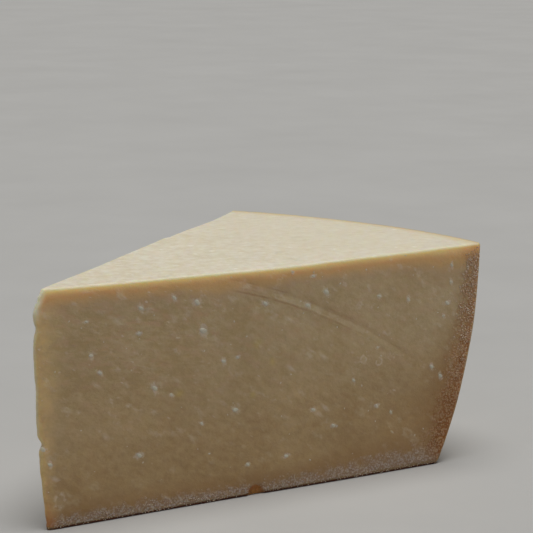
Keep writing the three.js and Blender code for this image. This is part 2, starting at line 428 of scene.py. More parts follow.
def rind_depth_share(x, y, z):
    """1 at the wheel's skin, 0 where the rind gives way to clean paste, and less than 0 inside:
    by the depth from the flat face, and from the wheel's side."""
    radius = np.hypot(x, y)
    deepening = smooth_step(*FLOOR_RIND_RUN, radius) ** FLOOR_RIND_POWER
    floor_rind = FLOOR_RIND[0] + np.ptp(FLOOR_RIND) * deepening
    down = np.clip(1.0 - z / WEDGE_HEIGHT, 0.0, 1.0)
    side_rind = SIDE_RIND[0] + np.ptp(SIDE_RIND) * np.sqrt(down)
    from_floor = 1.0 - z / floor_rind
    from_side = 1.0 - (side_radius(z) - radius) / side_rind
    return from_floor, from_side


def smear_share(x, z, spots, length, width):
    """1 at each of some spots on the front face, falling off about it, less fast along a way of
    its own, which is nearly the one that the knife pulled the paste."""
    shown = np.zeros_like(x)
    for along, height, size in spots:
        lean = PULL_LEAN + LEAN_SPREAD * math.sin(5.0 * along)
        x_off, z_off = (x - along) / size, (z - height) / size
        pulled = (x_off * math.cos(lean) - z_off * math.sin(lean)) / length
        across = (x_off * math.sin(lean) + z_off * math.cos(lean)) / width
        shown = np.maximum(shown, np.exp(-(pulled**2) - across**2))
    return shown


def face_marks(points, shares, top, floor):
    """What the relief and the materials need to know at each point of the wedge's surface."""
    x, y, z = points.T
    walls = 1.0 - np.maximum(top, floor)
    front = shares[:, 0] * walls
    from_tip = np.hypot(x + tip_reach(z), y)
    from_floor, from_side = rind_depth_share(x, y, z)
    strip = TIP_STRIP[0] + np.ptp(TIP_STRIP) * smooth_step(*TIP_STRIP_RUN, z)
    torn, tip_edge = (
        smooth_step(*near, from_tip) * smooth_step(*high, z) * walls
        for near, high in (TORN_CORNER, TIP_EDGE)
    )
    return {
        "cut": (shares[:, 0] + shares[:, 2]) * walls,
        "front": front,
        "level": top,
        "skin": np.clip(shares[:, 1] * walls + floor, 0.0, 1.0),
        "section": np.maximum(from_floor, from_side),
        "side": smooth_step(-0.6, 0.6, from_side - from_floor),
        "under_edge": np.maximum(0.0, top_height(x, y) - z),
        "tip": (1.0 - smooth_step(0.25, 1.0, from_tip / strip)) * walls,
        "torn": torn,
        "tip_edge": tip_edge,
        "halo": smear_share(x, z, FRONT_CRYSTALS, HALO_LENGTH, HALO_WIDTH) * front,
        "oily": smear_share(x, z, OILY_SPOTS, 1.0, 0.8) * front,
        "chip": chip_share(x, z) * front,
    }


def build_wedge():
    """The closed surface: quads between neighbouring rings, and triangles across its two flats."""
    outline = Outline()
    rings = wedge_rings(outline)
    count = outline.count
    floor_ring, top_ring = rings[0][0], rings[-1][0]
    floor_radius = FOOT_RADIUS - RIM_ROUNDING
    floor_inner = points_inside(FLOOR_SPACING, FOOT_CURL + FLOOR_MARGIN, floor_radius)
    top_inner = points_inside(TOP_SPACING, TOP_EDGE_ROUNDING + TOP_MARGIN, BELLY_RADIUS)
    walls = np.vstack([ring for ring, _ in rings])
    floor_points = np.column_stack([floor_inner, np.zeros(len(floor_inner))])
    top_points = np.column_stack([top_inner, top_height(*top_inner.T)])
    points = np.vstack([walls, floor_points, top_points])

    floor_first = len(walls) - count
    floor_cap = [
        [corner if corner < count else corner + floor_first for corner in reversed(face)]
        for face in cap_faces(floor_ring, floor_inner)
    ]
    top_first = len(walls) + len(floor_points) - count
    top_cap = [
        [corner + (floor_first if corner < count else top_first) for corner in face]
        for face in cap_faces(top_ring, top_inner)
    ]

    shares = np.zeros((len(points), 3))
    shares[: len(walls)] = np.tile(outline.shares, (len(rings), 1))
    top = np.zeros(len(points))
    top[: len(walls)] = np.repeat([share for _, share in rings], count)
    top[len(walls) + len(floor_points) :] = 1.0
    floor = np.zeros(len(points))
    floor[:count] = 1.0
    floor[len(walls) : len(walls) + len(floor_points)] = 1.0
    faces = wall_faces(count, len(rings)) + floor_cap + top_cap
    return new_mesh("wedge_form", points, faces, face_marks(points, shares, top, floor))


def put_in_scene(name, data):
    made = bpy.data.objects.new(name, data)
    bpy.context.scene.collection.objects.link(made)
    return made


def new_mesh(name, points, faces, marks):
    """A mesh object in the frame's metres. The marks become attributes of its points."""
    mesh = bpy.data.meshes.new(name)
    mesh.from_pydata(((points + WHEEL_AXIS) * MM).tolist(), [], faces)
    for mark, values in marks.items():
        attribute = mesh.attributes.new(mark, "FLOAT", "POINT")
        attribute.data.foreach_set("value", np.asarray(values, np.float32))
    return put_in_scene(name, mesh)


class Field:
    """The output of a node. Sums and products with numbers and other fields add Math nodes."""

    def __init__(self, plan, socket):
        self.plan = plan
        self.socket = socket

    def other(self, name):
        return Field(self.plan, self.socket.node.outputs[name])

    def __add__(self, value):
        return self.plan.math("ADD", self, value)

    def __sub__(self, value):
        return self.plan.math("SUBTRACT", self, value)

    def __rsub__(self, value):
        return self.plan.math("SUBTRACT", value, self)

    def __mul__(self, value):
        return self.plan.math("MULTIPLY", self, value)

    __radd__ = __add__
    __rmul__ = __mul__


class Plan:
    """Adds nodes to a tree. An input takes a number, a colour, a data-block or a field."""

    def __init__(self, tree):
        self.tree = tree

    def node(self, kind, inputs=None, output=0, **settings):
        made = self.tree.nodes.new(kind)
        for name, value in settings.items():
            setattr(made, name, value)
        for socket, value in (inputs or {}).items():
            self.feed(made.inputs[socket], value)
        return Field(self, made.outputs[output]) if made.outputs else made

    def feed(self, socket, value):
        if isinstance(value, Field):
            self.tree.links.new(value.socket, socket)
        else:
            socket.default_value = value

    def math(self, operation, a, b=0.0):
        return self.node("ShaderNodeMath", {0: a, 1: b}, operation=operation)

    def larger(self, a, b):
        return self.math("MAXIMUM", a, b)

    def step(self, value, none, full):
        """0 where the value is at one end, 1 at the other, smooth between."""
        ends = {"Value": value, "From Min": none, "From Max": full}
        return self.node("ShaderNodeMapRange", ends, interpolation_type="SMOOTHSTEP")

    def mix(self, plain, mixed, share):
        """A colour between two, by a share from 0 to 1."""
        inputs = {0: share, 6: plain, 7: mixed}
        return self.node("ShaderNodeMix", inputs, output=2, data_type="RGBA")

    def layered(self, colour, *layers):
        """A colour with others laid over it in turn, each by a share from 0 to 1."""
        for over, share in layers:
            colour = self.mix(colour, over, share)
        return colour

    def per_metre(self, size):
        """How many features of a size in millimetres fit in a metre."""
        return self.math("DIVIDE", 1.0 / MM, size) if isinstance(size, Field) else 1.0 / (size * MM)

    def noise(self, place, size, detail=2.0, roughness=0.5):
        """Cloudy unevenness about 0, from -0.5 to 0.5, whose features are size millimetres."""
        inputs = {
            "Vector": place,
            "Scale": self.per_metre(size),
            "Detail": detail,
            "Roughness": roughness,
        }
        return self.node("ShaderNodeTexNoise", inputs) - 0.5

    def cells(self, place, size):
        """The distance to the middle of the nearest cell, in cells size millimetres apart."""
        inputs = {"Vector": place, "Scale": self.per_metre(size)}
        return self.node("ShaderNodeTexVoronoi", inputs)

    def stretched(self, place, x, y, z):
        """The place with its axes multiplied, so that a pattern on it gets finer along them."""
        factors = {0: place, 1: (x, y, z)}
        return self.node("ShaderNodeVectorMath", factors, operation="MULTIPLY")

    def leaning(self, place, length, lean=PULL_LEAN):
        """The place drawn out along the way that the knife pulled the paste: away from the tip
        and down."""
        lean = {"Vector": place, "Angle": -lean}
        turned = self.node("ShaderNodeVectorRotate", lean, rotation_type="Y_AXIS")
        return self.stretched(turned, 1.0 / length, 1.0, 1.0)

    def from_axis(self, place, axis):
        """One coordinate of the place, in millimetres from the wheel's axis."""
        apart = self.node("ShaderNodeSeparateXYZ", {0: place}, output=axis)
        return apart * (1.0 / MM) - WHEEL_AXIS["XYZ".index(axis)]

    def scaled(self, vector, factor):
        return self.node("ShaderNodeVectorMath", {0: vector, "Scale": factor}, operation="SCALE")

    def mark(self, name):
        """One of the wedge's marks, at the point that is shaded or moved."""
        if self.tree.bl_idname == "GeometryNodeTree":
            return self.node("GeometryNodeInputNamedAttribute", {"Name": name})
        return self.node("ShaderNodeAttribute", output="Fac", attribute_name=name)

    def give_out(self, values):
        """Feeds the group's outputs. Gives the finished tree."""
        ends = self.tree.nodes.new("NodeGroupOutput")
        for label, value in values.items():
            self.feed(ends.inputs[label], value)
        return self.tree


GEOMETRY = "NodeSocketGeometry"
VECTOR = "NodeSocketVector"
MATERIAL = "NodeSocketMaterial"
THING = "NodeSocketObject"
NUMBERS = {float: "NodeSocketFloat", int: "NodeSocketInt"}


def new_group(name, kind, inputs, outputs):
    """An empty node group. An input is named with its usual number, or with its kind of socket.
    Gives the group's plan and its input fields."""
    tree = bpy.data.node_groups.new(name, kind)
    for label, usual in inputs.items():
        socket_type = NUMBERS.get(type(usual), usual)
        socket = tree.interface.new_socket(label, in_out="INPUT", socket_type=socket_type)
        if socket_type != usual:
            socket.default_value = usual
    for label, socket_type in outputs.items():
        tree.interface.new_socket(label, in_out="OUTPUT", socket_type=socket_type)
    plan = Plan(tree)
    first = plan.node("NodeGroupInput")
    return plan, {label: first.other(label) for label in inputs}


def geometry_group(name, inputs):
    inputs = {"Geometry": GEOMETRY, **inputs}
    return new_group(name, "GeometryNodeTree", inputs, {"Geometry": GEOMETRY})


def shader_group(name, inputs, *outputs):
    """A group that works on a place, and gives out numbers."""
    inputs = {"Place": VECTOR, **inputs}
    plan, given = new_group(name, "ShaderNodeTree", inputs, dict.fromkeys(outputs, NUMBERS[float]))
    return plan, given["Place"], given


def through_tree(base, tree, name, values):
    """The plain mesh that a geometry tree makes of an object, which it takes the place of."""
    modifier = base.modifiers.new(tree.name, "NODES")
    modifier.node_group = tree
    for item in tree.interface.items_tree:
        if item.in_out == "INPUT" and item.name in values:
            modifier[item.identifier] = values[item.name]
    now = bpy.context.evaluated_depsgraph_get()
    mesh = bpy.data.meshes.new_from_object(base.evaluated_get(now))
    mesh.name = name
    bpy.data.objects.remove(base)
    return put_in_scene(name, mesh)


def surface_tree():
    """Fine relief all over the wedge, in millimetres, and its two materials."""
    inputs = {**SURFACE, "Paste": MATERIAL, "Rind": MATERIAL}
    plan, given = geometry_group("cheese_surface", inputs)
    place = plan.node("GeometryNodeInputPosition")
    cut, level, skin = plan.mark("cut"), plan.mark("level"), plan.mark("skin")
    in_section = plan.step(plan.mark("section"), -0.15, 0.35)
    paste = plan.noise(place, 16, 2) * given["Paste unevenness"]
    paste = paste + plan.noise(place, 3.2, 3, 0.6) * given["Paste grain"]
    paste = paste + plan.noise(plan.leaning(place, 3.0), 3.6, 2, 0.5) * given["Pulled ridges"]
    crumb = plan.noise(place, 2.2, 3, 0.7) * in_section * given["Rind crumb"]
    flat_cut = plan.noise(place, 9, 3) * given["Level cut unevenness"]
    rough_skin = plan.noise(place, 24, 3, 0.6) * given["Skin unevenness"]
    torn = plan.noise(place, 4.5, 3, 0.65) * plan.mark("tip") * given["Torn tip"]
    torn = torn + plan.noise(place, 2.4, 2, 0.6) * plan.mark("torn") * given["Torn corner"]
    off_floor = plan.step(plan.from_axis(place, "Z"), 0.2, 1.6)
    height = (paste + crumb + torn) * cut + flat_cut * level + rough_skin * skin
    offset = plan.scaled(plan.node("GeometryNodeInputNormal"), height * off_floor * MM)
    moved = plan.node("GeometryNodeSetPosition", {"Geometry": given["Geometry"], "Offset": offset})
    smooth = plan.node("GeometryNodeSetShadeSmooth", {"Geometry": moved})
    whole = plan.node("GeometryNodeRealizeInstances", {"Geometry": smooth})
    pasted = plan.node("GeometryNodeSetMaterial", {"Geometry": whole, "Material": given["Paste"]})
    outside = plan.math("GREATER_THAN", skin, 0.5)
    finish = {"Geometry": pasted, "Selection": outside, "Material": given["Rind"]}
    return plan.give_out({"Geometry": plan.node("GeometryNodeSetMaterial", finish)})


def strewn_points(plan, given, mesh, where):
    """Points strewn over a mesh, by a share from 0 to 1 of the full number, and their sizes."""
    spread = {
        "Mesh": mesh,
        "Distance Min": given["Clearance"],
        "Density Max": given["Per square metre"],
        "Density Factor": where,
        "Seed": given["Seed"],
    }
    points = plan.node("GeometryNodeDistributePointsOnFaces", spread, distribute_method="POISSON")
    size = {2: given["Smallest"], 3: given["Largest"], "Seed": given["Seed"]}
    return points, plan.node("FunctionNodeRandomValue", size, output=1, data_type="FLOAT")


def set_on(plan, points, subdivisions, rotation, scale):
    """A small ball on each point, to be turned and drawn out."""
    ball = {"Radius": 1.0, "Subdivisions": subdivisions}
    put = {
        "Points": points,
        "Instance": plan.node("GeometryNodeMeshIcoSphere", ball),
        "Rotation": rotation,
        "Scale": scale,
    }
    return plan.node("GeometryNodeInstanceOnPoints", put)


def roughened(plan, given, pieces, size, height):
    """Ends a tree: moves each point of its pieces by noise, so that no two keep the same shape.
    Size and height are in millimetres."""
    whole = plan.node("GeometryNodeRealizeInstances", {"Geometry": pieces})
    place = plan.node("GeometryNodeInputPosition")
    scale = {"Vector": place, "Scale": plan.per_metre(size), "Detail": 1.0}
    noise = plan.node("ShaderNodeTexNoise", scale, output="Color")
    halves = {0: noise, 1: (0.5, 0.5, 0.5)}
    centred = plan.node("ShaderNodeVectorMath", halves, operation="SUBTRACT")
    offset = plan.scaled(centred, 2.0 * height * MM)
    moved = plan.node("GeometryNodeSetPosition", {"Geometry": whole, "Offset": offset})
    smooth = plan.node("GeometryNodeSetShadeSmooth", {"Geometry": moved})
    finish = {"Geometry": smooth, "Material": given["Material"]}
    return plan.give_out({"Geometry": plan.node("GeometryNodeSetMaterial", finish)})


def grain_tree():
    """Crumbly grains that stand out of the rind's section."""
    plan, given = geometry_group("rind_grains", {**STREWN_GRAINS, "Material": MATERIAL})
    place = plan.node("GeometryNodeInputPosition")
    section, side, under_edge = plan.mark("section"), plan.mark("side"), plan.mark("under_edge")
    ragged = section + plan.noise(place, 3.6, 4, 0.7) * 2.2
    sparse = side * plan.step(plan.noise(place, 2.2, 3, 0.7), 0.06, -0.06)
    sparse = sparse * plan.step(under_edge, 25.0, 55.0)
    off_floor = plan.step(plan.from_axis(place, "Z"), 0.45, 0.8)
    below_brow = plan.step(under_edge, 1.5, 6.0)
    where = plan.step(ragged, -0.5, 0.6) * plan.mark("cut") * off_floor * below_brow
    inside_skin = plan.step(section, 0.93, 0.84)
    where = where * plan.larger(inside_skin, plan.step(under_edge, 96.0, 100.0))
    where = where * (1.0 - plan.mark("chip")) * (1.0 - plan.mark("tip") * 0.8) * (1.0 - sparse)
    points, sizes = strewn_points(plan, given, given["Geometry"], where)
    inwards = plan.scaled(points.other("Normal"), -1.0 * given["Sink"])
    points = plan.node("GeometryNodeSetPosition", {"Geometry": points, "Offset": inwards})
    spin = {"Min": (0.0, 0.0, 0.0), "Max": (6.28, 6.28, 6.28), "Seed": given["Seed"]}
    turned = plan.node("FunctionNodeRandomValue", spin, data_type="FLOAT_VECTOR")
    high = side * plan.step(under_edge, 65.0, 35.0)
    grains = set_on(plan, points, 1, turned, sizes * (1.0 + high * 0.25))
    return roughened(plan, given, grains, 0.6, 0.25)


def crystal_tree():
    """Hard white crystals in the cuts: the chosen ones, whose points already lie on the cheese,
    and a scatter of smaller ones."""
    inputs = {**STREWN_CRYSTALS, "Cheese": THING, "Material": MATERIAL}
    plan, given = geometry_group("crystals", inputs)
    chosen = plan.node("GeometryNodeMeshToPoints", {"Mesh": given["Geometry"]})
    own = {"Name": "facing"}
    facing = plan.node("GeometryNodeInputNamedAttribute", own, data_type="FLOAT_VECTOR")
    pulled = ((0.2, 0.0, -1.0), (0.9, 0.0, 0.1))
    placed = crystals_on(plan, chosen, facing, plan.mark("size"), pulled)
    cheese = plan.node("GeometryNodeObjectInfo", {"Object": given["Cheese"]}, output="Geometry")
    where = plan.step(plan.mark("section"), 0.05, -0.3) * plan.mark("cut")
    points, sizes = strewn_points(plan, given, cheese, where)
    anyhow = ((-1.0, -1.0, -1.0), (1.0, 1.0, 1.0))
    scattered = crystals_on(plan, points, points.other("Normal"), sizes, anyhow)
    both = plan.node("GeometryNodeJoinGeometry", {"Geometry": placed})
    plan.feed(both.socket.node.inputs["Geometry"], scattered)
    return roughened(plan, given, both, 1.0, 0.08)


def crystals_on(plan, points, facing, size, along):
    """Long flat crystals, lying in the surface that the points face out of."""
    spin = {"Min": along[0], "Max": along[1], "Seed": 3}
    way = plan.node("FunctionNodeRandomValue", spin, data_type="FLOAT_VECTOR")
    lying = plan.node("FunctionNodeAlignRotationToVector", {"Vector": facing}, axis="Z")
    aim = {"Rotation": lying, "Vector": way}
    aimed = plan.node("FunctionNodeAlignRotationToVector", aim, axis="X", pivot_axis="Z")
    scale = plan.node("ShaderNodeCombineXYZ", {"X": size, "Y": size * 0.6, "Z": size * 0.12})
    return set_on(plan, points, 2, aimed, scale)


def build_crystals(wedge, material):
    """Casts the chosen crystals onto the wedge, then lets the tree make them and the rest."""
    inwards, down = (0.0, 1.0, 0.0), (0.0, 0.0, -1.0)
    casts = [((x, CAST_FROM[0], z), inwards, size) for x, z, size in FRONT_CRYSTALS]
    casts += [((x, y, CAST_FROM[1]), down, size) for x, y, size in TOP_CRYSTALS]
    places, facings, sizes = [], [], []
    for start, way, size in casts:
        hit, place, normal, _ = wedge.ray_cast((WHEEL_AXIS + start) * MM, way)
        if hit:
            places.append(np.array(place) / MM - WHEEL_AXIS)
            facings.append(normal)
            sizes.append(size * MM)
    points = new_mesh("crystal_places", np.array(places), [], {"size": sizes})
    facing = points.data.attributes.new("facing", "FLOAT_VECTOR", "POINT")
    facing.data.foreach_set("vector", np.array(facings, np.float32).ravel())
    values = {**STREWN_CRYSTALS, "Cheese": wedge, "Material": material}
    return through_tree(points, crystal_tree(), "tyrosine_crystals", values)


def build_grains(wedge, material):
    base = put_in_scene("grain_base", wedge.data.copy())
    values = {**STREWN_GRAINS, "Material": material}
    return through_tree(base, grain_tree(), "rind_grains", values)


def paint(red, green, blue):
    """A colour as it looks on a screen, each part from 0 to 255, as the shaders take it."""
    parts = np.array([red, green, blue]) / 255.0
    linear = np.where(parts <= 0.04045, parts / 12.92, ((parts + 0.055) / 1.055) ** 2.4)
    return (*linear, 1.0)


def mottling_group():
    """Broad and middling changes of tone, about 0."""
    plan, place, given = shader_group("mottling", {"Size": 20.0}, "Tone")
    broad = plan.noise(place, given["Size"], 2, 0.5)
    middling = plan.noise(place, given["Size"] * 0.3, 3, 0.6)
    return plan.give_out({"Tone": broad + middling * 0.6})


def grain_group():
    """Fine grain: a tone about 0, and the height of the same grain."""
    plan, place, given = shader_group("fine_grain", {"Size": 1.0}, "Tone", "Height")
    coarse = plan.noise(place, given["Size"], 3, 0.65)
    fine = plan.noise(place, given["Size"] * 0.35, 2, 0.5)
    return plan.give_out({"Tone": coarse + fine * 0.5, "Height": coarse + fine * 0.4 + 0.5})


FLECK_INPUTS = {"Spacing": 8.0, "Radius": 1.0, "Share": 0.5, "Raggedness": 1.0}


def fleck_group():
    """Ragged flecks, each in a cell of its own, of which only a share are filled."""
    plan, place, given = shader_group("flecks", FLECK_INPUTS, "Mask")
    noise = plan.noise(place, given["Radius"] * 1.3, 2, 0.6)
    cell = plan.cells(place, given["Spacing"])
    chance = plan.node("ShaderNodeSeparateColor", {"Color": cell.other("Color")})
    distance = cell * given["Spacing"] + noise * given["Raggedness"]
    radius = given["Radius"] * (chance.other("Green") + 0.4)
    filled = plan.math("LESS_THAN", chance, given["Share"])
    return plan.give_out({"Mask": plan.step(distance, radius * 1.1, radius * -0.1) * filled})


# Fainter cracks along the crease, drawn as lines of painted shade: how far up its band, as a share
# of it, and how strong
FAINT_CRACKS = ((0.35, 0.5), (0.7, 0.4), (1.0, 0.6))


def crease_group():
    """The crease seen close, from a place on the front face: the painted shade of its sharp lower
    line, the pale band above that, which is painted light, and the painted shade over its upper
    line."""
    plan, place, _ = shader_group("knife_crease", {}, "Line", "Band", "Shade")
    along = plan.from_axis(place, "X")
    wander = plan.noise(place, 9.0, 2) * 1.1
    run = along - CREASE_FROM
    upper = CREASE_HEIGHT - run * CREASE_FALL - run * run * CREASE_BEND
    over_upper = plan.from_axis(place, "Z") + wander - upper
    over_lower = over_upper + CREASE_BAND - run * CREASE_NARROWING
    starts = plan.step(along, CREASE_FROM - 4.0, CREASE_FROM + CREASE_FADE)
    shown = starts * plan.step(along, CREASE_TO - 0.8 * CREASE_FADE, CREASE_TO - 3.0 * CREASE_FADE)
    shaded = starts * plan.step(along, CREASE_TO + 2.0 * CREASE_FADE, CREASE_TO)
    worn = plan.step(plan.noise(place, 7.0, 2), -0.3, 0.15)
    line = plan.step(plan.math("ABSOLUTE", over_lower), 0.8, 0.1) * worn
    for share, strength in FAINT_CRACKS:
        over_line = over_lower - CREASE_BAND * share + plan.noise(place, 12.0, 2) * 1.6
        worn = plan.step(plan.noise(place, 9.0, 2), -0.1, 0.2) * strength
        line = plan.larger(line, plan.step(plan.math("ABSOLUTE", over_line), 0.6, 0.1) * worn)
    band = plan.step(over_upper, 0.3, -1.2) * plan.step(over_lower, 0.2, 1.2)
    band = band * plan.step(plan.noise(place, 6.0, 3), -0.12, 0.1)
    shade = plan.step(over_upper, 7.0, 0.4) * plan.step(over_upper, -0.5, 0.3)
    return plan.give_out({"Line": line * shown, "Band": band * shown, "Shade": shade * shaded})


RING_INPUTS = {"Along": 0.0, "Height": 0.0, "Half width": 1.0, "Half height": 1.0}


def ring_group():
    """A soft ring on the front face, about a centre given in millimetres from the axis."""
    plan, place, given = shader_group("pale_ring", RING_INPUTS, "Mask")
    across = plan.from_axis(place, "X") - given["Along"]
    up = plan.from_axis(place, "Z") - given["Height"]
    across = plan.math("DIVIDE", across, given["Half width"])
    up = plan.math("DIVIDE", up, given["Half height"])
    away = plan.math("SQRT", across * across + up * up)
    off_ring = plan.math("ABSOLUTE", away - 1.0 + plan.noise(place, 2.4, 2) * 1.1)
    worn = plan.step(plan.noise(place, 2.0, 2), -0.2, 0.15)
    inside = plan.step(away, 1.2, 0.8) * 0.2
    return plan.give_out({"Mask": plan.larger(plan.step(off_ring, 0.7, 0.0) * worn, inside)})


GROUPS = {
    "mottling": mottling_group(),
    "grain": grain_group(),
    "flecks": fleck_group(),
    "crease": crease_group(),
    "ring": ring_group(),
}


def soft(weight, reach, scale, ior):
    """The plain values of a stuff that light goes into: how much of it, how far red, green and
    blue reach, as shares of a scale in millimetres, and how much it bends."""
    return {
        "Subsurface Weight": weight,
        "Subsurface Radius": reach,
        "Subsurface Scale": scale * MM,
        "IOR": ior,
    }


class Material(Plan):
    """A material with one Principled shader, whose plain values are set on its own sockets."""

    def __init__(self, name, plain):
        self.material = bpy.data.materials.new(name)
        self.material.use_nodes = True
        super().__init__(self.material.node_tree)
        self.shader = self.tree.nodes["Principled BSDF"]
        for socket, value in plain.items():
            self.shader.inputs[socket].default_value = value
        self.place = self.node("ShaderNodeTexCoord", output="Object")

    def group(self, name, inputs, place=None, output=0):
        """An output of one of the groups, worked out at the material's own place or another."""
        made = self.tree.nodes.new("ShaderNodeGroup")
        made.node_tree = GROUPS[name]
        self.feed(made.inputs["Place"], self.place if place is None else place)
        for socket, value in inputs.items():
            self.feed(made.inputs[socket], value)
        return Field(self, made.outputs[output])

    def mottling(self, size):
        return self.group("mottling", {"Size": size})

    def grain(self, size):
        return self.group("grain", {"Size": size})

    def flecks(self, place, *values):
        """Flecks by their spacing, radius, share and raggedness."""
        return self.group("flecks", dict(zip(FLECK_INPUTS, values)), place)

    def finish(self, colour, roughness, height, relief):
        """Joins the shader up. Relief is the height's full range in millimetres."""
        self.feed(self.shader.inputs["Base Color"], colour)
        self.feed(self.shader.inputs["Roughness"], roughness)
        bump = self.node("ShaderNodeBump", {"Height": height, "Distance": relief * MM})
        self.feed(self.shader.inputs["Normal"], bump)
        return self.material


# The paste in the upright cuts: higher up, low down, where its darker and warmer colour is painted
# shade and warm bounced light, and close to the rind
PASTE_DEEP = paint(190, 165, 124)
PASTE_PALE = paint(210, 189, 152)
PASTE_ROSY = paint(204, 170, 138)
PASTE_LOW_SHADED_DEEP = paint(174, 144, 101)
PASTE_LOW_SHADED_PALE = paint(196, 168, 125)
PASTE_BY_RIND = paint(168, 132, 88)
# The brow, under the level cut's edge: painted light, a glow where light from above comes through
# the paste, palest at the very edge
BROW_GLOW_AMBER = paint(222, 185, 128)
BROW_GLOW_GOLD = paint(235, 216, 158)
BROW_GLOW_ORANGE = paint(224, 160, 96)
BROW_GLOW_PALE = paint(213, 206, 178)
# The broken tip
TIP_PALE = paint(220, 195, 142)
TIP_FOOT = paint(182, 124, 70)
TORN = paint(228, 222, 198)
# Pale marks, oily spots and the painted shade of the knife's crease
FLECK = paint(230, 218, 198)
OILY = paint(212, 192, 118)
CREASE_SHADE_BROWN = paint(150, 92, 56)
# The level cut, and its rim along the wheel's side
LEVEL_DEEP = paint(206, 194, 166)
LEVEL_PALE = paint(220, 213, 194)
LEVEL_FLECK = paint(238, 235, 222)
# painted shade in small dents of the level cut, which have no relief of their own
LEVEL_DENT_SHADE = paint(184, 172, 148)
RIM_AMBER = paint(206, 186, 144)
RIM_BROWN = paint(150, 120, 80)
# The rind seen in section: crumb and the gaps in it, along the foot and up the side
SECTION_BROWN = paint(172, 142, 116)
SECTION_GREY = paint(206, 190, 176)
SECTION_TAN = paint(186, 142, 98)
SECTION_RED = paint(160, 104, 54)
SECTION_DARK = paint(146, 92, 46)
SECTION_CREAM = paint(214, 186, 150)
SKIN_LINE = paint(190, 172, 146)
SKIN_DEEP = paint(164, 134, 98)
# the dark rind at the very foot, with a painted contact shadow along it
FOOT_EDGE_AND_SHADOW = paint(84, 38, 20)
CHIP_ORANGE = paint(186, 124, 66)
# The wheel's skin, the crystals, and the grains: along the foot, up the side and low on it
RIND_DEEP = paint(174, 134, 82)
RIND_PALE = paint(218, 188, 134)
RIND_STAIN = paint(132, 96, 58)
CRYSTAL_DEEP = paint(208, 196, 170)
CRYSTAL_PALE = paint(232, 226, 208)
GRAIN_COLOURS = (
    (paint(170, 145, 120), paint(204, 186, 168)),
    (paint(180, 138, 98), paint(228, 208, 188)),
    (paint(140, 92, 52), paint(204, 164, 124)),
)

PASTE_MARKS = ("level", "section", "side", "tip", "tip_edge", "torn", "under_edge", "front")
PASTE_MARKS += ("halo", "oily", "chip")


def paste_at(plan):
    """What the paste's colour and relief depend on, at the point that is shaded."""
    at = SimpleNamespace(place=plan.place, **{name: plan.mark(name) for name in PASTE_MARKS})
    at.along = plan.from_axis(at.place, "X")
    at.height = plan.from_axis(at.place, "Z")
    at.upright = 1.0 - at.level
    at.tone = plan.mottling(26.0)
    at.grain = plan.grain(1.4)
    at.curds = plan.noise(at.place, 4.0, 3, 0.55)
    at.pulled = plan.leaning(at.place, 2.4)
    at.ridges = plan.noise(at.pulled, 2.6, 3, 0.6)
    at.by_tip = plan.step(at.along, 125.0, 45.0) * plan.step(at.height, 38.0, 72.0)
    dragged = plan.leaning(at.place, 3.6, DRAG_LEAN)
    at.drag = plan.noise(dragged, 2.0, 3, 0.6) * (at.by_tip * 1.1 + 0.5)
    at.crumb = plan.cells(at.place, 1.1) + plan.noise(at.place, 0.8, 2) * 0.5
    at.crumb = plan.step(at.crumb, 0.62, 0.3)
    ragged = at.section + plan.noise(at.place, 3.6, 4, 0.7) * 2.2
    at.in_section = plan.step(ragged, -0.45, 0.6) * at.upright
    low = plan.step(at.under_edge, 0.0, 9.0)
    at.in_section = at.in_section * plan.larger(1.0 - at.side, low)
    return at


